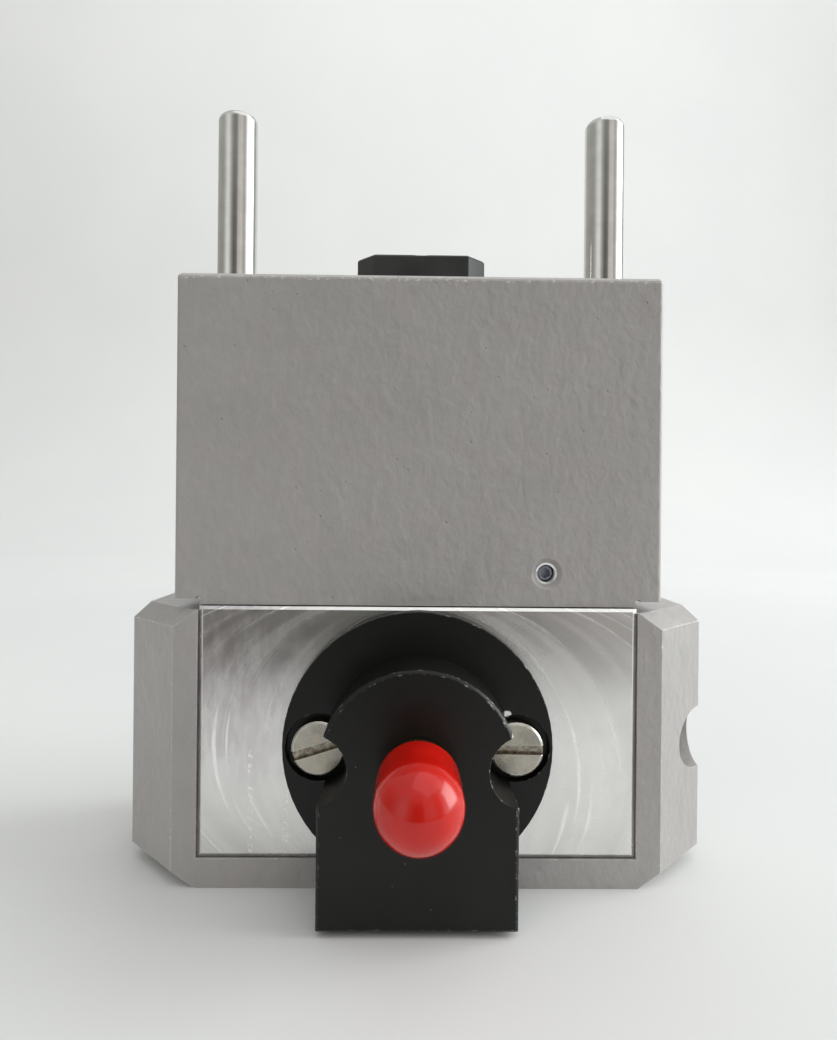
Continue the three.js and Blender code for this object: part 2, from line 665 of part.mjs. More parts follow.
for (const [name, side] of SIDES) {
  const turn = side < 0 ? Math.PI : 0;
  const reach = CAVITY_HALF_DEPTH - 3 * GAP;
  add(`jaw_${name}`, jaw().rotateZ(turn), 'steel');
  add(`finger_pin_${name}`, fingerPin().rotateZ(turn), 'polishedSteel');
  add(`jaw_roller_${name}`, roller().rotateZ(turn), 'steel');
  const rollerPin = bar('y', ROLLER_PIN_RADIUS, [-reach, reach], [side * ROLLER_X, ROLLER_Z], 16);
  add(`roller_pin_${name}`, rollerPin, 'polishedSteel');
}

// ---------------------------------------------------------------- stop block

// outline of a block with its four upright corners cut off
function octagon(halfWidth, halfDepth, [alongWidth, alongDepth]) {
  const u = halfWidth - alongWidth;
  const v = halfDepth - alongDepth;
  return polygon([
    [u, -halfDepth], [halfWidth, -v], [halfWidth, v], [u, halfDepth],
    [-u, halfDepth], [-halfWidth, v], [-halfWidth, -v], [-u, -halfDepth],
  ]);
}

function stopBlock() {
  const outline = octagon(STOP_HALF_WIDTH, STOP_HALF_DEPTH, STOP_CORNER);
  const block = plan(outline, [HOUSING_TOP + GAP, STOP_TOP], 0.3);
  const holes = [-1, 1].flatMap((end) => [
    bar('z', M3 + GAP, [HOUSING_TOP, STOP_TOP + PAST], [0, end * STOP_SCREW_Y], 16),
    bar('z', CAP_HEAD.radius + GAP, [STOP_HEAD_SEAT, STOP_TOP + PAST], [0, end * STOP_SCREW_Y], 24),
  ]);
  return cut(block, ...holes);
}

// socket cap screw along Z, the underside of its head at z = 0
function capScrew(length) {
  const { radius: r, height: h } = CAP_HEAD;
  const body = turned('z', [
    [0, -length], [M3, -length], [M3, 0], [r, 0], [r, h - 0.3], [r - 0.25, h], [0, h],
  ], 20);
  return cut(body, bar('z', 1.44, [h - 1.6, h + PAST], [0, 0], 6));
}

add('stop_block', stopBlock(), 'blackAnodised');
for (const [face, end] of [['front', -1], ['rear', 1]]) {
  const screw = capScrew(STOP_SCREW_LENGTH);
  add(`stop_screw_${face}`, screw, 'blackSteel', [0, end * STOP_SCREW_Y, STOP_HEAD_SEAT + 0.15]);
}

// ---------------------------------------------------------------- inlet flange and cap

function inletFlange() {
  const disc = bar('y', DISC_RADIUS, [DISC_FACE, FRONT - GAP], [0, INLET_Z], 64);
  const arch = new THREE.Shape();
  arch.moveTo(-FOOT_HALF_WIDTH, FOOT_UNDERSIDE);
  arch.lineTo(FOOT_HALF_WIDTH, FOOT_UNDERSIDE);
  arch.absarc(0, INLET_Z, FOOT_HALF_WIDTH, 0, Math.PI);
  const foot = section(arch, [FOOT_FACE, DISC_FACE + 0.5], 0.35);
  const tools = [
    bar('y', 3, [FOOT_FACE - PAST, FRONT], [0, INLET_Z], 24),
    bar('y', 5.7, [FRONT - GAP - 1.2, FRONT + PAST], [0, INLET_Z], 24),
  ];
  for (const [, side] of SIDES) {
    const centre = [side * FLANGE_SCREW_X, INLET_Z];
    tools.push(bar('y', COUNTERBORE_RADIUS, [FOOT_FACE - PAST, COUNTERBORE_FLOOR], centre, 40));
    tools.push(bar('y', M4 + GAP, [FOOT_FACE, FRONT], centre, 16));
  }
  return cut(join(disc, foot), ...tools);
}

// slotted cheese-head screw along Y, the underside of its head at y = 0, its slot turned by angle
function cheeseHeadScrew(angle) {
  const h = CHEESE_HEAD_HEIGHT;
  const r = CHEESE_HEAD_RADIUS;
  const body = turned('y', [
    [0, -h], [r - 0.3, -h], [r, -h + 0.25], [r, 0], [M4, 0], [M4, 8], [0, 8],
  ], 32);
  const { halfWidth, depth } = CHEESE_HEAD_SLOT;
  const slot = box([-r - PAST, r + PAST], [-h - PAST, -h + depth], [-halfWidth, halfWidth]);
  return cut(body, slot).rotateY(angle);
}

// threaded nipple: a round collar against the foot, and a barb under the dust cap
function inletNipple() {
  const bore = NIPPLE_BORE;
  const collar = NIPPLE_COLLAR;
  const seat = FOOT_FACE - GAP;
  const end = CAP_MOUTH - 6.8;
  return turned('y', [
    [bore, end], [bore, FRONT - 4], [2.7, FRONT - 4], [2.7, seat], [collar, seat],
    [collar, CAP_MOUTH + GAP], [2.7, CAP_MOUTH + GAP], [2.7, CAP_MOUTH - 1.5],
    [3, CAP_MOUTH - 4.2], [2.6, CAP_MOUTH - 4.4], [2.2, end], [bore, end],
  ].reverse(), 20).translate(0, 0, INLET_Z);
}

function dustCap() {
  const dome = [];
  const steps = 6;
  for (let i = 0; i <= steps; i += 1) {
    const angle = (i / steps) * (Math.PI / 2);
    dome.push([CAP_RADIUS * Math.sin(angle), CAP_DOME_CENTRE - CAP_RADIUS * Math.cos(angle)]);
  }
  dome[0][0] = 0;
  return turned('y', [
    ...dome, [CAP_RADIUS - 0.1, CAP_MOUTH], [3.3, CAP_MOUTH], [3.3, CAP_MOUTH - 7.8], [0, CAP_MOUTH - 7.8],
  ], 24).translate(0, 0, INLET_Z);
}

add('inlet_flange', inletFlange(), 'blackAnodised');
add('flange_seal', ring('y', 4.7, 0.5, [0, FRONT - GAP - 0.55, INLET_Z]), 'rubber');
for (const [name, side] of SIDES) {
  const screw = cheeseHeadScrew(SLOT_ANGLES[name]);
  add(`flange_screw_${name}`, screw, 'steel', [side * FLANGE_SCREW_X, COUNTERBORE_FLOOR - 0.2, INLET_Z]);
}
add('inlet_nipple', inletNipple(), 'brass');
add('dust_cap', dustCap(), 'redVinyl');

export default group;
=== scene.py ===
# The look of the pneumatic gripper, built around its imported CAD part. The scene is in metres; sizes of
# pieces and of patterns are given in millimetres. -Y is the front, +Z up.

import json
import math
import bmesh
import bpy
from mathutils import Matrix, Vector


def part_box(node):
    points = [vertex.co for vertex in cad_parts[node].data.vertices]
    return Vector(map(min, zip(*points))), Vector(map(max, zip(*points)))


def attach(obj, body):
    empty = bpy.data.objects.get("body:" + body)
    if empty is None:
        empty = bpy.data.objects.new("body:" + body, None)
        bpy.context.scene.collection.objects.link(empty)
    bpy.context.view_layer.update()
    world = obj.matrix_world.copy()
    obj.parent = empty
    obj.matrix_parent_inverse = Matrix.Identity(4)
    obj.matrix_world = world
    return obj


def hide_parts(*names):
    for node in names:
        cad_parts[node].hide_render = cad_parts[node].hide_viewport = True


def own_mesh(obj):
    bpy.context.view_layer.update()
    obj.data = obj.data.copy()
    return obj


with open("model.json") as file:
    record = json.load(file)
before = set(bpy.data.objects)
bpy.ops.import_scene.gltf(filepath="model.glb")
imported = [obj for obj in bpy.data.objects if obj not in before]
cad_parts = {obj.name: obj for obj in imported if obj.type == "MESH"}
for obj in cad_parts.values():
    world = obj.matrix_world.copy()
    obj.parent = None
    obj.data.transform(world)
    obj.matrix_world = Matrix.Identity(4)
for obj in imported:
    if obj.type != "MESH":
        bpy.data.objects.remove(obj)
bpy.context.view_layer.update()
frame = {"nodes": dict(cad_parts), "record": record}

MM = 0.001
BODY_OF = {n: b for b, nodes in frame["record"]["behaviour"]["bodies"].items() for n in nodes}
ENDS = ("front", "rear")
SIDES = ("left", "right")
scene = bpy.context.scene


def extent(node):
    """The low and the high corner of the node's box, in mm."""
    low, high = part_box(node)
    return low / MM, high / MM


def middle_of(node):
    """The middle of the node's box, in mm."""
    low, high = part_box(node)
    return (low + high) / 2 / MM


def placed(name, data):
    """A new object in the scene."""
    thing = bpy.data.objects.new(name, data)
    scene.collection.objects.link(thing)
    return thing


# ---------------------------------------------------------------- node material helper

class Graph:
    """A procedural material put together node by node. place is the point on the piece, in mm."""

    def __init__(self, name):
        self.material = bpy.data.materials.new(name)
        self.material.use_nodes = True
        self.tree = self.material.node_tree
        self.tree.nodes.clear()
        self.shader = self.add("ShaderNodeBsdfPrincipled")
        output = self.add("ShaderNodeOutputMaterial")
        self.tree.links.new(self.shader.outputs[0], output.inputs[0])
        coordinates = self.add("ShaderNodeTexCoord")
        self.place = self.vector("MULTIPLY", coordinates.outputs["Object"], (1 / MM,) * 3)
        split = self.add("ShaderNodeSeparateXYZ")
        self.put(split.inputs[0], self.place)
        self.x, self.y, self.z = split.outputs

    def add(self, kind):
        return self.tree.nodes.new(kind)

    def put(self, socket, value):
        """Links the socket to another node's output, or gives it a fixed value."""
        if isinstance(value, bpy.types.NodeSocket):
            self.tree.links.new(value, socket)
        elif isinstance(value, tuple) and len(value) == 3 and socket.type == "RGBA":
            socket.default_value = (*value, 1)
        else:
            socket.default_value = value

    def math(self, operation, *values):
        node = self.add("ShaderNodeMath")
        node.operation = operation
        for socket, value in zip(node.inputs, values):
            self.put(socket, value)
        return node.outputs[0]

    def times(self, product, *factors):
        for factor in factors:
            product = self.math("MULTIPLY", product, factor)
        return product

    def plus(self, a, b):
        return self.math("ADD", a, b)

    def minus(self, a, b):
        return self.math("SUBTRACT", a, b)

    def vector(self, operation, a, b=(0, 0, 0)):
        node = self.add("ShaderNodeVectorMath")
        node.operation = operation
        self.put(node.inputs[0], a)
        self.put(node.inputs[1], b)
        return node.outputs["Value" if operation == "LENGTH" else "Vector"]

    def combine(self, *values):
        node = self.add("ShaderNodeCombineXYZ")
        for socket, value in zip(node.inputs, values):
            self.put(socket, value)
        return node.outputs[0]

    def scaled(self, size, stretch, offset, at=None):
        """The point at, in steps of size mm times stretch on each axis, shifted by offset steps."""
        steps = tuple(1 / (size * s) for s in stretch)
        return self.vector("ADD", self.vector("MULTIPLY", self.place if at is None else at, steps), offset)

    def noise(self, size, detail=2.0, rough=0.5, stretch=(1, 1, 1), offset=(0, 0, 0), warp=0.0, at=None):
        """Noise whose features are about size mm across, times stretch on each axis."""
        node = self.add("ShaderNodeTexNoise")
        settings = {"Scale": 1.0, "Detail": detail, "Roughness": rough, "Distortion": warp}
        for name, value in settings.items():
            node.inputs[name].default_value = value
        self.put(node.inputs["Vector"], self.scaled(size, stretch, offset, at))
        return node.outputs["Fac"]

    def spots(self, size, radius, share, offset=(0, 0, 0), edge=0.35, stretch=(1, 1, 1)):
        """1 inside round spots of about radius mm, in that share of the cells of size mm."""
        cells = self.add("ShaderNodeTexVoronoi")
        cells.inputs["Scale"].default_value = 1.0
        self.put(cells.inputs["Vector"], self.scaled(size, stretch, offset))
        chance = self.add("ShaderNodeSeparateColor")
        self.put(chance.inputs[0], cells.outputs["Color"])
        reach = radius / size
        disc = self.range(cells.outputs["Distance"], reach * (1 - edge), reach * (1 + edge), 1.0, 0.0)
        return self.times(disc, self.math("LESS_THAN", chance.outputs[0], share))

    def range(self, value, low, high, start=0.0, end=1.0):
        """Goes smoothly from start to end while value goes from low to high."""
        node = self.add("ShaderNodeMapRange")
        node.interpolation_type = "SMOOTHSTEP"
        node.clamp = True
        for socket, setting in zip(node.inputs, (value, low, high, start, end)):
            self.put(socket, setting)
        return node.outputs[0]

    def mix(self, share, a, b):
        node = self.add("ShaderNodeMix")
        node.data_type = "RGBA"
        node.clamp_factor = True
        self.put(node.inputs["Factor"], share)
        self.put(node.inputs[6], a)
        self.put(node.inputs[7], b)
        return node.outputs[2]

    def cover(self, colour, other, field, low, high, most=1.0, least=0.0):
        """The colour, covered by the other from least to most as the field goes from low to high."""
        return self.mix(self.range(field, low, high, least, most), colour, other)

    def bump(self, height, depth):
        """Relief of height times depth mm."""
        node = self.add("ShaderNodeBump")
        node.inputs["Strength"].default_value = 1.0
        node.inputs["Distance"].default_value = depth * MM
        self.put(node.inputs["Height"], height)
        return node.outputs[0]

    def set(self, **values):
        for name, value in values.items():
            self.put(self.shader.inputs[name.replace("_", " ")], value)
        return self.material


def shade(tone, factor):
    """The colour made darker, or lighter up to white."""
    return tuple(min(1, c * factor) for c in tone)


# ---------------------------------------------------------------- materials

PAINT_TONE = (0.404, 0.388, 0.378)
PAINT_GRAIN = (0.85, 1, 1.2)  # the orange peel hangs a little
PAINT_RELIEF = 0.24
RIM_SPECK_WHITE = (0.95, 0.94, 0.90)
RIM_HIGHLIGHT_BAND = (0.58, 0.72)  # how far below the rim the painted highlight of the rounded top edge ends
RIM_LINE = (0.3, 0.5, 0.7, 0.95)  # start, full, full and end of the broken line of near-white specks along the lower end of that highlight
RIM_REACH = (0.55, 0.75)  # how far in from the rim's faces it is still seen


def textured_paint(name, worn=0.0, rim=None):
    """Stoved grey paint with an orange peel. worn is how far its edges are rubbed light.
    rim is (half width, half depth, top) of a box whose rounded top edge gets a band of painted highlight."""
    g = Graph(name)
    tone = PAINT_TONE
    fine = g.noise(1.15, warp=0.3, stretch=PAINT_GRAIN)
    broad = g.noise(3.0, detail=2.5, offset=(7, 3, 1), warp=0.5, stretch=PAINT_GRAIN)
    drift = g.noise(15, offset=(2, 9, 4))
    tint = g.noise(5, offset=(8, 8, 2))
    rub = g.noise(0.8, detail=4.0, rough=0.65, offset=(4, 4, 4))
    chip = g.noise(0.5, detail=3.0, rough=0.6, stretch=(1.6, 1, 1), offset=(8, 2, 5))
    pit = g.spots(1.7, radius=0.16, share=0.16, offset=(5, 5, 2), edge=0.7)
    scuff = g.spots(3.6, radius=0.11, share=0.10, offset=(1, 6, 6), edge=0.6, stretch=(1, 1, 1.8))
    rosier = (tone[0] * 1.03, tone[1] * 0.96, tone[2] * 0.95)
    colour = g.cover(shade(tone, 0.97), shade(tone, 1.03), drift, 0.3, 0.7)
    colour = g.cover(colour, rosier, tint, 0.4, 0.75, most=0.25)
    colour = g.cover(colour, shade(tone, 0.6), broad, 0.45, 0.75, most=0.09)
    colour = g.cover(colour, shade(tone, 1.6), fine, 0.5, 0.75, most=0.08)
    colour = g.mix(g.times(pit, 0.22), colour, shade(tone, 0.3))
    colour = g.mix(g.times(scuff, 0.35), colour, (0.62, 0.62, 0.6))
    metal = 0.0
    if worn:
        colour = g.cover(colour, shade(tone, 1.55), rub, 0.35, 0.65, most=0.65, least=0.25)
        bare = g.times(g.range(chip, 0.58, 0.64), worn)
        colour = g.mix(bare, colour, (0.88, 0.87, 0.84))
        metal = g.times(bare, 0.5)
    if rim:
        half_width, half_depth, top = rim
        inset = g.math("MINIMUM", g.minus(half_width, g.math("ABSOLUTE", g.x)),
                       g.minus(half_depth, g.math("ABSOLUTE", g.y)))
        sink = g.plus(g.minus(top, g.z), g.times(g.minus(rub, 0.5), 0.35))
        # painted highlight: a lighter band just under the rounded top edge, where light from above catches
        # it
        rim_highlight = g.times(g.range(sink, RIM_HIGHLIGHT_BAND[1], RIM_HIGHLIGHT_BAND[0]), g.range(inset, RIM_REACH[1], RIM_REACH[0]))
        colour = g.mix(g.times(rim_highlight, 0.5), colour, shade(tone, 1.6))
        # a broken line of near-white specks along the lower end of the painted highlight
        line = g.times(g.range(sink, RIM_LINE[3], RIM_LINE[2]), g.range(sink, RIM_LINE[0], RIM_LINE[1]))
        specks = g.times(line, g.range(inset, 0.4, 0.2), g.range(chip, 0.54, 0.62))
        colour = g.mix(g.times(specks, 0.45), colour, RIM_SPECK_WHITE)
    height = g.minus(g.plus(g.times(fine, 0.42), broad), g.times(pit, 0.4))
    return g.set(
        Base_Color=colour, Metallic=metal, IOR=1.5,
        Roughness=g.range(fine, 0.2, 0.8, 0.30, 0.44),
        Normal=g.bump(height, PAINT_RELIEF),
    )


ALUMINIUM = (0.80, 0.795, 0.78)
DULL_VIOLET = (0.50, 0.445, 0.47)  # dull and slightly violet, laid over the upper left of the milled face
WHITE = (1.0, 1.0, 1.0)
LEFT_SWEEP = {"radius": 19.5, "centre_z": 19.3, "side": 1.0, "seed": 2.0}
RIGHT_SWEEP = {"radius": 24.0, "centre_z": 15.0, "side": -1.0, "seed": 5.0}
SWEEPS_CROSS = 9.0  # half the width over which one sweep gives way to the other
NICK_ROWS = ((-22.4, 20.0), (-17.7, 14.5))  # place on X and top of each upright row


def milled_face(name):
    """Aluminium faced with a fly cutter: two sweeps of arcs that cross, one from each side."""
    g = Graph(name)

    def sweep(radius, centre_z, side, seed):
        """Broad bands, fine lines and single marks along arcs that bulge to that side."""
        rise = g.minus(g.z, centre_z)
        inside = g.minus(radius * radius, g.times(rise, rise))
        sag = g.math("SQRT", g.math("MAXIMUM", inside, 1.0))
        phase = g.plus(g.x, g.times(sag, side))
        broad = g.noise(3.4, detail=1.0, at=g.combine(phase, seed, g.times(g.z, 0.12)))
        fine = g.noise(0.34, detail=3.0, rough=0.6, at=g.combine(phase, seed + 9, g.times(g.z, 0.012)))
        mark = g.noise(1.5, detail=1.0, at=g.combine(phase, seed + 4, g.times(g.z, 0.05)))
        return broad, fine, g.range(mark, 0.62, 0.67)

    across = g.range(g.x, -SWEEPS_CROSS, SWEEPS_CROSS)
    back = g.minus(1.0, across)
    pairs = zip(sweep(**LEFT_SWEEP), sweep(**RIGHT_SWEEP))
    broad, fine, mark = (g.plus(g.times(a, back), g.times(b, across)) for a, b in pairs)
    cloud = g.noise(7, detail=3.0, rough=0.55, offset=(3, 3, 3), warp=0.8)
    smear = g.noise(1.6, detail=3.0, rough=0.6, stretch=(0.7, 1, 2.4), offset=(1, 2, 6))
    chatter = g.noise(0.5, rough=0.6, stretch=(0.8, 1, 1.2), offset=(7, 7, 7))
    # the face turns duller and slightly violet towards its upper left, in upright smears
    upper_left = g.times(g.range(g.x, -8.0, -24.0), g.range(g.z, 6.0, 28.0))
    colour = g.cover(shade(ALUMINIUM, 0.93), shade(ALUMINIUM, 1.06), broad, 0.3, 0.7)
    colour = g.cover(colour, (0.62, 0.60, 0.60), cloud, 0.35, 0.7, most=0.18)
    colour = g.mix(g.times(upper_left, g.range(smear, 0.3, 0.7, 0.25, 0.75)), colour, DULL_VIOLET)
    colour = g.cover(colour, (0.98, 0.98, 0.96), fine, 0.55, 0.8, most=0.22)
    colour = g.mix(g.times(mark, g.range(smear, 0.35, 0.6, 0.3, 0.8)), colour, (1.0, 1.0, 0.98))
    for place, top in NICK_ROWS:
        away = g.math("ABSOLUTE", g.minus(g.x, place))
        row = g.times(g.range(away, 0.4, 0.2), g.range(g.z, top, top - 2.0))
        colour = g.mix(g.times(row, g.range(chatter, 0.55, 0.62)), colour, WHITE)
    height = g.minus(g.plus(g.times(fine, 0.35), g.times(broad, 0.25)), g.times(mark, 0.3))
    return g.set(
        Base_Color=colour, Metallic=1.0, Anisotropic=0.3,
        Roughness=g.plus(g.range(broad, 0.3, 0.7, 0.21, 0.29), g.range(cloud, 0.3, 0.7, -0.015, 0.03)),
        Normal=g.bump(height, 0.018),
    )


def cut_metal(name, tone, rough, streak=(1, 1, 1), scratch=0.006, stain=0.08, warm=None, face=None):
    """Turned, ground or milled metal. streak stretches its marks along an axis.
    face is where on Y the outer face lies, when what is cut below it is darkened with depth as painted
    shade over some grime, brown with gold patches of painted glint."""
    g = Graph(name)
    lines = g.noise(0.22, detail=3.0, rough=0.65, stretch=streak)
    patch = g.noise(2.4, detail=3.0, rough=0.55, offset=(6, 2, 8))
    nick = g.spots(1.3, radius=0.07, share=0.12, offset=(2, 2, 5))
    colour = g.cover(shade(tone, 1 - 2.4 * stain), tone, patch, 0.3, 0.7)
    if warm:
        colour = g.cover(colour, warm, g.noise(1.4, offset=(9, 9, 1)), 0.52, 0.72, most=0.6)
    colour = g.cover(colour, shade(tone, 1.25), lines, 0.58, 0.8, most=0.35)
    if face is not None:
        rub = g.noise(0.6, detail=3.0, rough=0.6, offset=(5, 1, 3))
        # painted shade: darker with depth below the head's face, brown over some grime, with gold patches
        # of painted glint
        sunk = g.range(g.y, face + 0.12, face + 0.6)
        slot_shade_grime_and_glint = g.cover((0.20, 0.17, 0.13), (0.42, 0.37, 0.28), rub, 0.45, 0.65)
        colour = g.mix(g.times(sunk, g.range(rub, 0.35, 0.6, 0.95, 0.6)), colour, slot_shade_grime_and_glint)
    return g.set(
        Base_Color=colour, Metallic=1.0,
        Roughness=g.plus(g.range(lines, 0.25, 0.75, rough * 0.8, rough * 1.2),
                         g.range(patch, 0.3, 0.7, -rough * 0.2, rough * 0.2)),
        Normal=g.bump(g.minus(lines, g.times(nick, 1.5)), scratch),
    )


BLACK = (0.0062, 0.0063, 0.0058)
FLANGE_CHIP = {"x": 11.75, "z": 24.15, "radius": 0.7}  # on the cusp over the right screw


def black_anodising(name, tone=BLACK, worn=0.0, chip=None):
    """Fine blasted, dyed black aluminium with dust caught on it. worn bares its edges, more on the
    right. chip is a place knocked back to bare metal."""
    g = Graph(name)
    grain = g.noise(0.16, rough=0.6)
    cloud = g.noise(7, detail=3.0, offset=(1, 5, 2))
    dust = g.spots(1.55, radius=0.055, share=0.20, offset=(4, 8, 3), edge=0.6)
    lint = g.spots(4.2, radius=0.16, share=0.14, offset=(2, 7, 7), edge=0.6, stretch=(1.4, 1, 0.7))
    colour = g.cover(shade(tone, 0.85), shade(tone, 1.3), cloud, 0.3, 0.7)
    colour = g.mix(g.times(dust, 0.5), colour, (0.5, 0.5, 0.49))
    colour = g.mix(g.times(lint, 0.12), colour, (0.5, 0.5, 0.5))
    bare = 0.0
    if worn:
        rub = g.noise(0.9, detail=4.0, rough=0.7, offset=(3, 8, 8))
        side = g.range(g.x, -2.0, 9.0, 0.30, 0.75)
        bare = g.times(g.range(rub, 0.52, 0.68), g.times(side, worn))
        colour = g.mix(bare, colour, (0.55, 0.54, 0.52))
    if chip:
        radius = chip["radius"]
        away = g.vector("LENGTH", g.combine(g.minus(g.x, chip["x"]), 0.0, g.minus(g.z, chip["z"])))
        ragged = g.plus(away, g.times(g.minus(g.noise(0.5, rough=0.6), 0.5), radius))
        colour = g.cover(colour, (0.9, 0.9, 0.88), ragged, radius, radius * 0.7)
    return g.set(
        Base_Color=colour, Metallic=bare, IOR=1.36,
        Roughness=g.range(grain, 0.25, 0.75, 0.30, 0.40),
        Normal=g.bump(grain, 0.010),
    )


def moulded_vinyl(name):
    """Glossy dipped red vinyl, slightly uneven and dusty."""
    g = Graph(name)
    wave = g.noise(2.8, rough=0.45)
    fine = g.noise(0.35, offset=(4, 1, 1))
    dust = g.spots(1.1, radius=0.035, share=0.25, offset=(8, 3, 3), edge=0.6)
    colour = g.cover((0.55, 0.0075, 0.0030), (0.61, 0.0095, 0.0040), wave, 0.3, 0.7)
    colour = g.mix(g.times(dust, 0.25), colour, (0.8, 0.5, 0.45))
    return g.set(
        Base_Color=colour, IOR=1.5, Roughness=g.range(wave, 0.3, 0.7, 0.10, 0.15),
        Subsurface_Weight=0.06, Subsurface_Radius=(0.002, 0.0004, 0.0003), Subsurface_Scale=0.6,
        Normal=g.bump(g.plus(wave, g.times(fine, 0.04)), 0.03),
    )


def moulded_rubber(name):
    """Black rubber of the seals."""
    g = Graph(name)
    grain = g.noise(0.2, detail=3.0, rough=0.6)
    colour = g.cover((0.010, 0.010, 0.010), (0.022, 0.021, 0.020), g.noise(2.0), 0.3, 0.7)
    return g.set(
        Base_Color=colour, Roughness=g.range(grain, 0.3, 0.7, 0.55, 0.75),
        Normal=g.bump(grain, 0.01),
    )


block_low, block_high = extent("cylinder_block")
housing_low, housing_high = extent("upper_housing")
HEAD_FACE = extent("flange_screw_left")[0].y
MATERIALS = {
    "paint": textured_paint("grey_paint"),
    "paint_edge": textured_paint("grey_paint_edge", worn=0.8),
    "housing_paint": textured_paint("housing_paint", rim=tuple(housing_high)),
    "milled_aluminium": milled_face("fly_cut_aluminium"),
    "milled_edge": cut_metal("aluminium_edge", (0.90, 0.90, 0.88), 0.22, streak=(9, 1, 1), scratch=0.004),
    "flange_black": black_anodising("flange_black", chip=FLANGE_CHIP),
    "flange_edge": black_anodising("flange_edge", worn=0.8, chip=FLANGE_CHIP),
    "stop_anodised": black_anodising("grey_black_anodising", (0.041, 0.040, 0.040)),
    "slotted_head": cut_metal("slotted_head", (0.49, 0.465, 0.405), 0.30, streak=(1, 9, 1), scratch=0.012,
                              stain=0.14, warm=(0.50, 0.43, 0.31), face=HEAD_FACE),
    "bare_hole": cut_metal("bare_hole", (0.80, 0.80, 0.80), 0.20, scratch=0.01),
    "steel": cut_metal("turned_steel", (0.66, 0.64, 0.60), 0.30, streak=(1, 9, 1), warm=(0.62, 0.55, 0.42)),
    "steel_edge": cut_metal("steel_edge", (0.80, 0.79, 0.76), 0.22, scratch=0.004),
    "polished_steel": cut_metal("ground_steel", (0.70, 0.69, 0.66), 0.10, streak=(6, 6, 0.6),
                                scratch=0.0015, stain=0.04),
    # the set screws are black oxide steel; this light blue-grey is a painted reflection
    "set_screw_painted_reflection": cut_metal("set_screw_painted_reflection", (0.42, 0.45, 0.52), 0.30, scratch=0.008),
    "black_steel": cut_metal("black_oxide", (0.045, 0.045, 0.048), 0.32),
    "brass": cut_metal("brass", (0.78, 0.57, 0.26), 0.22, streak=(1, 8, 1)),
    "rubber": moulded_rubber("rubber"),
    "red_vinyl": moulded_vinyl("red_vinyl"),
}


# ---------------------------------------------------------------- how pieces are made

SMOOTH_BELOW = math.radians(32)  # edges flatter than this are shaded smooth
BROKEN_ABOVE = math.radians(28)  # outer edges sharper than this are rounded
FLAT_WITHIN = math.radians(0.6)  # facets this close to level are one face
WELD = 0.002
EDGE_SEGMENTS = 3
BARE_SLOT = 2  # place of bare_hole among a skin's surfaces


def show(name, mesh, node, surfaces, body=None):
    """Puts a new mesh in the scene, in place of a CAD node or as a detail of a body."""
    piece = placed(name, mesh)
    for surface in surfaces:
        mesh.materials.append(MATERIALS[surface])
    mesh.polygons.foreach_set("use_smooth", [True] * len(mesh.polygons))
    mesh.set_sharp_from_angle(angle=SMOOTH_BELOW)
    weighted = piece.modifiers.new("even_normals", "WEIGHTED_NORMAL")
    weighted.keep_sharp = True
    weighted.weight = 80
    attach(piece, body or BODY_OF[node])
    if node:
        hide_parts(node)
    return piece


def refined(node, finish, edge, width, moved=None, bare=None):
    """The CAD node's own surface with its outer edges broken: width mm of radius, in the edge finish.
    moved gives points a new place, to bring a face up to its neighbour; bare tells unpainted faces."""
    mesh = frame["nodes"][node].data.copy()
    mesh.materials.clear()
    work = bmesh.new()
    work.from_mesh(mesh)
    bmesh.ops.remove_doubles(work, verts=work.verts, dist=WELD * MM)
    bmesh.ops.dissolve_limit(
        work, angle_limit=FLAT_WITHIN, use_dissolve_boundaries=False, verts=work.verts, edges=work.edges,
    )
    bmesh.ops.recalc_face_normals(work, faces=work.faces)
    if moved:
        for vertex in work.verts:
            vertex.co = moved(vertex.co / MM) * MM
    for face in work.faces:
        face.material_index = BARE_SLOT if bare and bare(face.calc_center_median() / MM) else 0
    edges = [
        e for e in work.edges
        if len(e.link_faces) == 2 and e.is_convex and e.calc_face_angle() > BROKEN_ABOVE
    ]
    if width and edges:
        bmesh.ops.bevel(
            work, geom=edges, offset=width * MM, offset_type="OFFSET", segments=EDGE_SEGMENTS, profile=0.5,
            affect="EDGES", clamp_overlap=True, material=1,
        )
    work.to_mesh(mesh)
    work.free()
    show(f"{node}_skin", mesh, node, [finish, edge] + (["bare_hole"] if bare else []))


AXIS_TURN = {
    "z": Matrix.Identity(3),
    "y": Matrix.Rotation(-math.pi / 2, 3, "X"),
    "x": Matrix.Rotation(math.pi / 2, 3, "Y"),
}


def turned_mesh(name, profile, axis, centre, sides):
    """A body of revolution: profile is (radius, place along the axis) in mm, from end to end."""
    vertices = []
    rings = []
    for radius, place in profile:
        count = sides if radius > 1e-6 else 1
        rings.append(list(range(len(vertices), len(vertices) + count)))
        for i in range(count):
            a = 2 * math.pi * i / count
            point = Vector((radius * math.cos(a), radius * math.sin(a), place))
            vertices.append((Vector(centre) + AXIS_TURN[axis] @ point) * MM)
    faces = []
    for low, high in zip(rings, rings[1:]):
        for i in range(sides):
            j = (i + 1) % sides
            if len(low) == 1:
                faces.append((low[0], high[j], high[i]))
            elif len(high) == 1:
                faces.append((low[i], low[j], high[0]))
            else:
                faces.append((low[i], low[j], high[j], high[i]))
    mesh = bpy.data.meshes.new(name)
    mesh.from_pydata(vertices, [], faces)
    work = bmesh.new()
    work.from_mesh(mesh)
    bmesh.ops.remove_doubles(work, verts=work.verts, dist=0.0001 * MM)
    bmesh.ops.recalc_face_normals(work, faces=work.faces)
    work.to_mesh(mesh)
    work.free()
    return mesh


def lathed(node, slot, profile, axis, centre, sides):
    """A turned piece in place of its CAD node."""
    show(f"{node}_turned", turned_mesh(node, profile, axis, centre, sides), node, [slot])


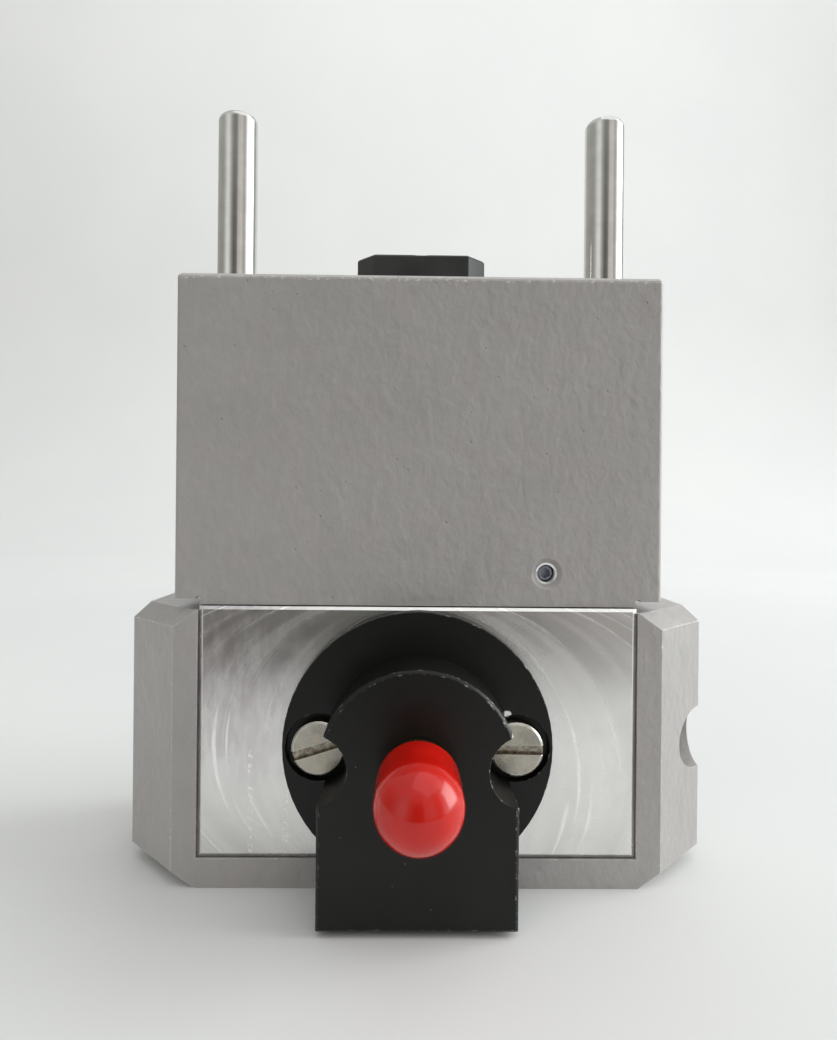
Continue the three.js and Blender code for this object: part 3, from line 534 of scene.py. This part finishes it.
def eased(profile, radius, steps=4):
    """The profile with each of its inner corners rounded to radius mm."""
    points = [Vector(p) for p in profile]
    result = [points[0]]
    for before, corner, after in zip(points, points[1:], points[2:]):
        a, b = before - corner, after - corner
        reach = min(radius, a.length * 0.45, b.length * 0.45)
        a, b = corner + a.normalized() * reach, corner + b.normalized() * reach
        for i in range(steps + 1):
            t = i / steps
            result.append(a * (1 - t) ** 2 + corner * 2 * t * (1 - t) + b * t * t)
    result.append(points[-1])
    return [tuple(p) for p in result]


# ---------------------------------------------------------------- pieces that keep their CAD shape

FIT = 0.2  # how much of the 0.3 mm gap is closed where two faces meet in view
AT_FACE = 0.01  # a point this close to a face lies on it
SET_SCREW_HOLE = 1.6  # a little more than the radius of the tapped hole
COUNTERSUNK = 0.5  # depth at which its countersink is over
SET_SCREWS = [f"housing_set_screw_{end}" for end in ENDS]
set_screws = [middle_of(node) for node in SET_SCREWS]


def block_fit(p):
    """The block's sides and underside come up to the yoke."""
    x = p.x + math.copysign(FIT, p.x) if abs(p.x) > block_high.x - AT_FACE else p.x
    z = p.z - FIT if p.z < block_low.z + AT_FACE else p.z
    return Vector((x, p.y, z))


def housing_fit(p):
    """The housing's lower rim comes down to the block."""
    return Vector((p.x, p.y, p.z - FIT if p.z < housing_low.z + AT_FACE else p.z))


def tapped_hole(p):
    """Whether p is on the wall of a set screw hole, below its countersink."""
    return abs(p.y) < housing_high.y - COUNTERSUNK and any(
        math.hypot(p.x - s.x, p.z - s.z) < SET_SCREW_HOLE and p.y * s.y > 0 for s in set_screws
    )


SPIGOT_SCREWS = [f"spigot_screw_{end}_{side}" for end in ENDS for side in SIDES]
# nodes, material slot, finish, finish of the edges, radius of the edges
REFINED = [
    (["base_yoke"], "paint", "paint", "paint_edge", 0.35),
    (["upper_housing"], "paint", "housing_paint", "paint_edge", 0.28),
    (["cylinder_block"], "milled_aluminium", "milled_aluminium", "milled_edge", 0.12),
    (["piston", "spigot_plate", "rod_bracket"], "milled_aluminium", "milled_aluminium", "milled_edge", 0.2),
    (["inlet_flange"], "black_anodised", "flange_black", "flange_edge", 0.17),
    (["stop_block"], "black_anodised", "stop_anodised", "stop_anodised", 0.14),
    (["drive_wedge", "rod_nut"], "steel", "steel", "steel_edge", 0.15),
    (["jaw_left", "jaw_right"], "steel", "steel", "steel_edge", 0.2),
    (["jaw_roller_left", "jaw_roller_right"], "steel", "steel", "steel_edge", 0.12),
    # black-oxide set screws, shown in a light blue-grey painted reflection
    (SET_SCREWS, "black_steel", "set_screw_painted_reflection", "set_screw_painted_reflection", 0.06),
    (["flange_screw_left", "flange_screw_right"], "steel", "slotted_head", "steel_edge", 0.14),
    (["piston_rod"], "polished_steel", "polished_steel", "polished_steel", 0.15),
    (["yoke_screw_left", "yoke_screw_right"], "black_steel", "black_steel", "black_steel", 0.12),
    (SPIGOT_SCREWS, "black_steel", "black_steel", "black_steel", 0.1),
    (["stop_screw_front", "stop_screw_rear"], "black_steel", "black_steel", "black_steel", 0.12),
    (["airway_seal", "piston_seal", "rod_seal", "flange_seal"], "rubber", "rubber", "rubber", 0),
]
MOVED = {"cylinder_block": block_fit, "upper_housing": housing_fit}
BARE = {"upper_housing": tapped_hole}
for nodes, slot, finish, edge, width in REFINED:
    for node in nodes:
        refined(node, finish, edge, width, MOVED.get(node), BARE.get(node))


# ---------------------------------------------------------------- pieces built afresh

THREAD_OUTER = 1.49  # a radius, like the next two
THREAD_ROOT = 1.40
THREAD_CREST = 1.17
THREAD_START = 0.62  # depth of the countersink's foot below the housing's face


def set_screw_threads():
    """The first turns of thread in each set screw hole: two crests, inwards from the countersink."""
    for end, screw in zip(ENDS, set_screws):
        out = math.copysign(1, screw.y)
        start = housing_high.y - THREAD_START
        crests = [
            (THREAD_OUTER, 0), (THREAD_CREST + 0.03, 0.12), (THREAD_CREST, 0.2), (THREAD_ROOT, 0.55),
            (THREAD_CREST, 0.78), (THREAD_ROOT, 0.84), (THREAD_OUTER, 0.86), (THREAD_OUTER, 0),
        ]
        name = f"set_screw_thread_{end}"
        profile = [(radius, out * (start - depth)) for radius, depth in crests]
        mesh = turned_mesh(name, profile, "y", (screw.x, 0, screw.z), 48)
        show(name, mesh, None, ["bare_hole"], BODY_OF["upper_housing"])


def finger_pins():
    """Dowel pins with a chamfered foot and a tip that is rounded over."""
    for side in SIDES:
        node = f"finger_pin_{side}"
        low, high = extent(node)
        centre = middle_of(node)
        radius = (high.x - low.x) / 2
        profile = eased([
            (0, low.z), (radius - 0.5, low.z), (radius, low.z + 0.8), (radius, high.z - 0.9),
            (radius - 0.22, high.z - 0.38), (radius - 0.8, high.z), (0, high.z),
        ], 0.4, 5)
        lathed(node, "polished_steel", profile, "z", (centre.x, centre.y, 0), 128)


def plain_rods():
    """Guide rods and roller pins: straight, with eased ends."""
    guide_rods = [(f"guide_rod_{end}", "x") for end in ENDS]
    roller_pins = [(f"roller_pin_{side}", "y") for side in SIDES]
    for node, axis in guide_rods + roller_pins:
        low, high = extent(node)
        half = getattr(high - low, axis) / 2
        radius = (high.z - low.z) / 2
        profile = eased([(0, -half), (radius, -half), (radius, half), (0, half)], 0.35)
        lathed(node, "polished_steel", profile, axis, middle_of(node), 64)


NIPPLE_BORE = 1.2  # a radius, like those down to the barb's
NIPPLE_STEM = 2.7
NIPPLE_COLLAR = 4.2
BARB_TIP, BARB_NECK, BARB_TOP = 2.2, 2.6, 3.0
COLLAR_GAP = 0.3  # from the collar to the cap's mouth, and to the flange's foot
FLANGE_FOOT = 2.75  # from the cap's mouth to the foot's face, with the collar's gap


def inlet_nipple():
    """Barbed hose nipple with a collar, placed from the cap's mouth."""
    low, high = extent("inlet_nipple")
    mouth = extent("dust_cap")[1].y
    collar = (mouth + COLLAR_GAP, mouth + FLANGE_FOOT - COLLAR_GAP)
    profile = eased([
        (NIPPLE_BORE, low.y), (BARB_TIP, low.y), (BARB_NECK, mouth - 4.4), (BARB_TOP, mouth - 4.2),
        (NIPPLE_STEM, mouth - 1.5), (NIPPLE_STEM, collar[0]), (NIPPLE_COLLAR, collar[0]),
        (NIPPLE_COLLAR, collar[1]), (NIPPLE_STEM, collar[1]), (NIPPLE_STEM, high.y),
        (NIPPLE_BORE, high.y), (NIPPLE_BORE, low.y),
    ], 0.12, 3)
    lathed("inlet_nipple", "brass", profile, "y", (0, 0, middle_of("dust_cap").z), 64)


CAP_BORE = 3.3  # radius
CAP_DEPTH = 7.8  # of the bore, with its 0.4 mm of cone at the end
DOME_STEPS = 24


def dust_cap():
    """A half ball on a sleeve that tapers a little towards its mouth."""
    low, high = extent("dust_cap")
    radius = (high.z - low.z) / 2
    mouth, tip = high.y, low.y
    middle = tip + radius
    dome = [(0, tip)]
    for i in range(1, DOME_STEPS + 1):
        a = i / DOME_STEPS * math.pi / 2
        dome.append((radius * math.sin(a), middle - radius * math.cos(a)))
    sleeve = [
        (radius - 0.02, middle + 1.5), (radius - 0.06, mouth - 1.2), (radius - 0.10, mouth - 0.25),
        (radius - 0.3, mouth), (CAP_BORE + 0.15, mouth), (CAP_BORE, mouth - 0.2),
        (CAP_BORE, mouth - CAP_DEPTH + 0.4), (CAP_BORE - 0.5, mouth - CAP_DEPTH), (0, mouth - CAP_DEPTH),
    ]
    lathed("dust_cap", "red_vinyl", dome + sleeve, "y", (0, 0, middle_of("dust_cap").z), 128)


SPRING_WIRE = 0.45  # radius of the wire
SPRING_TURNS = 5
TURN_STEPS = 32
WIRE_SIDES = 12


def coil_mesh(node):
    """Round wire wound along X inside the node's box."""
    low, high = extent(node)
    centre = middle_of(node)
    coil = (high.z - low.z) / 2 - SPRING_WIRE
    start, end = low.x + SPRING_WIRE, high.x - SPRING_WIRE
    steps = SPRING_TURNS * TURN_STEPS
    vertices = []
    for i in range(steps + 1):
        t = i / steps
        a = 2 * math.pi * SPRING_TURNS * t
        out = Vector((0, math.cos(a), math.sin(a)))
        point = Vector((start + (end - start) * t, centre.y, centre.z)) + out * coil
        for k in range(WIRE_SIDES):
            b = 2 * math.pi * k / WIRE_SIDES
            rim = out * math.cos(b) + Vector((math.sin(b), 0, 0))
            vertices.append((point + rim * SPRING_WIRE) * MM)
    faces = []
    for first in range(0, steps * WIRE_SIDES, WIRE_SIDES):
        for k in range(WIRE_SIDES):
            m = (k + 1) % WIRE_SIDES
            faces.append((first + k, first + m, first + WIRE_SIDES + m, first + WIRE_SIDES + k))
    faces.append(tuple(reversed(range(WIRE_SIDES))))
    faces.append(tuple(range(steps * WIRE_SIDES, (steps + 1) * WIRE_SIDES)))
    mesh = bpy.data.meshes.new(node)
    mesh.from_pydata(vertices, [], faces)
    return mesh


def return_springs():
    """A spring on each half of each guide rod."""
    for end in ENDS:
        for side in SIDES:
            node = f"jaw_spring_{end}_{side}"
            spring = show(f"{node}_coil", coil_mesh(node), node, ["steel"])
            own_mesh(spring)


set_screw_threads()
finger_pins()
plain_rods()
inlet_nipple()
dust_cap()
return_springs()


# ---------------------------------------------------------------- floor and backdrop (metres)

FLOOR_FRONT = -0.13
FLOOR_HALF_WIDTH = 1.6
WALL_HALF_WIDTH = 0.82
BEND_START = 0.55
BEND_RADIUS = 0.35
BEND_STEPS = 24
WALL_TOP = 1.5


def backdrop():
    """One sheet: a level floor that narrows and curves up into a wall behind the object."""
    line = [(FLOOR_FRONT, 0.0, FLOOR_HALF_WIDTH), (0.1, 0.0, FLOOR_HALF_WIDTH)]
    for i in range(BEND_STEPS + 1):
        a = i / BEND_STEPS * math.pi / 2
        y = BEND_START + BEND_RADIUS * math.sin(a)
        line.append((y, BEND_RADIUS * (1 - math.cos(a)), WALL_HALF_WIDTH))
    line.append((BEND_START + BEND_RADIUS, WALL_TOP, WALL_HALF_WIDTH))
    vertices = [(side * width, y, z) for y, z, width in line for side in (-1, 1)]
    faces = [(2 * i, 2 * i + 1, 2 * i + 3, 2 * i + 2) for i in range(len(line) - 1)]
    mesh = bpy.data.meshes.new("backdrop")
    mesh.from_pydata(vertices, [], faces)
    mesh.polygons.foreach_set("use_smooth", [True] * len(mesh.polygons))
    g = Graph("pale_paper")
    colour = g.cover((0.790, 0.795, 0.790), (0.815, 0.815, 0.808), g.noise(160, detail=3.0), 0.3, 0.7)
    grain = g.noise(0.9, rough=0.6)
    mesh.materials.append(g.set(Base_Color=colour, Roughness=0.8, Normal=g.bump(grain, 0.01)))
    sheet = placed("backdrop", mesh)


backdrop()


# ---------------------------------------------------------------- light

NEUTRAL = (0.98, 1, 0.99)
GREENISH = (0.98, 1, 0.91)
OCHRE = (1, 0.98, 0.87)
ROSY = (1, 0.95, 0.92)
BLUISH = (0.93, 0.99, 1)
# degrees from the viewer's side, positive to the right: brightness and tint at the horizon
BEARINGS = [
    (-180, 0.46, NEUTRAL), (-124, 0.42, GREENISH), (-96, 0.35, GREENISH), (-76, 0.36, GREENISH),
    (-64, 0.55, NEUTRAL), (-50, 0.90, NEUTRAL), (-38, 0.92, NEUTRAL), (-28, 0.54, OCHRE),
    (-18, 0.28, OCHRE), (-8, 0.12, OCHRE), (2, 0.15, OCHRE), (10, 0.24, ROSY), (15, 0.64, ROSY),
    (34, 0.76, ROSY), (42, 0.66, ROSY), (50, 0.46, ROSY), (57, 0.62, NEUTRAL), (66, 1.4, BLUISH),
    (74, 2.2, BLUISH), (81, 3.7, BLUISH), (103, 3.3, NEUTRAL), (112, 1.8, NEUTRAL),
    (121, 0.50, NEUTRAL), (142, 0.33, NEUTRAL), (162, 0.40, NEUTRAL), (180, 0.46, NEUTRAL),
]
CEILING = 0.68
CEILING_TINT = (0.98, 1, 1)
CEILING_FROM, CEILING_FULL = 0.25, 0.9  # height of the direction, where straight up is 1
DIM_FROM, DIM_BELOW = -0.22, 0.52  # down at that height of direction, the share of light left


def surroundings():
    """Soft daylight by direction: a window wall on the right, a dim room behind the viewer."""
    world = bpy.data.worlds.new("soft_room")
    scene.world = world
    world.use_nodes = True
    tree = world.node_tree
    tree.nodes.clear()
    nodes, link = tree.nodes, tree.links.new
    split = nodes.new("ShaderNodeSeparateXYZ")
    link(nodes.new("ShaderNodeTexCoord").outputs["Generated"], split.inputs[0])
    sideways, backwards, upwards = split.outputs

    def math_node(operation, *values):
        node = nodes.new("ShaderNodeMath")
        node.operation = operation
        for socket, value in zip(node.inputs, values):
            if isinstance(value, bpy.types.NodeSocket):
                link(value, socket)
            else:
                socket.default_value = value
        return node.outputs[0]

    def map_range(kind, low, high, start, end):
        node = nodes.new("ShaderNodeMapRange")
        node.interpolation_type = kind
        link(upwards, node.inputs[0])
        for socket, value in zip(list(node.inputs)[1:], (low, high, start, end)):
            socket.default_value = value
        return node.outputs[0]

    bearing = math_node("ARCTAN2", sideways, math_node("MULTIPLY", backwards, -1.0))
    ramp = nodes.new("ShaderNodeValToRGB")
    ramp.color_ramp.interpolation = "EASE"
    link(math_node("MULTIPLY_ADD", bearing, 1 / (2 * math.pi), 0.5), ramp.inputs[0])
    peak = max(brightness for _, brightness, _ in BEARINGS)
    stops = ramp.color_ramp.elements
    while len(stops) < len(BEARINGS):
        stops.new(0.5)
    for stop, (degrees, brightness, tint) in zip(stops, BEARINGS):
        stop.position = degrees / 360 + 0.5
        stop.color = (*(brightness / peak * t for t in tint), 1)
    mix = nodes.new("ShaderNodeMix")
    mix.data_type = "RGBA"
    link(map_range("SMOOTHSTEP", CEILING_FROM, CEILING_FULL, 0.0, 1.0), mix.inputs["Factor"])
    link(ramp.outputs[0], mix.inputs[6])
    mix.inputs[7].default_value = (*(CEILING / peak * t for t in CEILING_TINT), 1)
    background = nodes.new("ShaderNodeBackground")
    dimming = map_range("LINEAR", DIM_FROM, 0.0, DIM_BELOW, 1.0)
    link(math_node("MULTIPLY", dimming, peak), background.inputs[1])
    link(mix.outputs[2], background.inputs[0])
    link(background.outputs[0], nodes.new("ShaderNodeOutputWorld").inputs[0])


def softbox(name, place, target, size, power, colour):
    """A rectangular lamp that faces its target. Places and size in metres, power in watts."""
    light = bpy.data.lights.new(name, "AREA")
    light.shape = "RECTANGLE"
    light.size, light.size_y = size
    light.energy = power
    light.color = colour
    lamp = placed(name, light)
    lamp.location = place
    lamp.rotation_euler = (Vector(target) - Vector(place)).to_track_quat("-Z", "Y").to_euler()


surroundings()
softbox("overhead", (0.20, -0.12, 0.70), (0, -0.02, 0.03), (0.8, 0.7), 0.98, (1, 1, 0.99))
softbox("window", (0.85, 0.05, 0.35), (0, 0.02, 0.05), (0.6, 0.6), 3.4, (0.97, 1, 1))
softbox("wall_wash", (0.20, 0.15, 1.00), (0.18, 0.90, 1.00), (1.8, 0.4), 5.0, (0.98, 1, 1))


# ---------------------------------------------------------------- camera (millimetres)

EYE_LEFT = 1.05  # of the object's middle
EYE_HEIGHT = 51.27
EYE_DISTANCE = 94.4  # in front of the base's front face
EYE_PAN = math.radians(-0.665)
EYE_ROLL = math.radians(0.53)
LENS = 24.23
SHIFT = (-0.0014, -0.0110)


def viewpoint():
    """Level, close to the front face, a little left of the middle and below half height."""
    camera = bpy.data.cameras.new("viewer")
    camera.lens = LENS
    camera.shift_x, camera.shift_y = SHIFT
    camera.clip_start = 5 * MM
    eye = placed("viewer", camera)
    place = Vector((-EYE_LEFT, extent("base_yoke")[0].y - EYE_DISTANCE, EYE_HEIGHT)) * MM
    pan = Matrix.Rotation(EYE_PAN, 4, "Z")
    upright = Matrix.Rotation(math.pi / 2, 4, "X")
    roll = Matrix.Rotation(EYE_ROLL, 4, "Z")
    eye.matrix_world = Matrix.Translation(place) @ pan @ upright @ roll
    scene.camera = eye


viewpoint()
scene.view_settings.view_transform = "Standard"
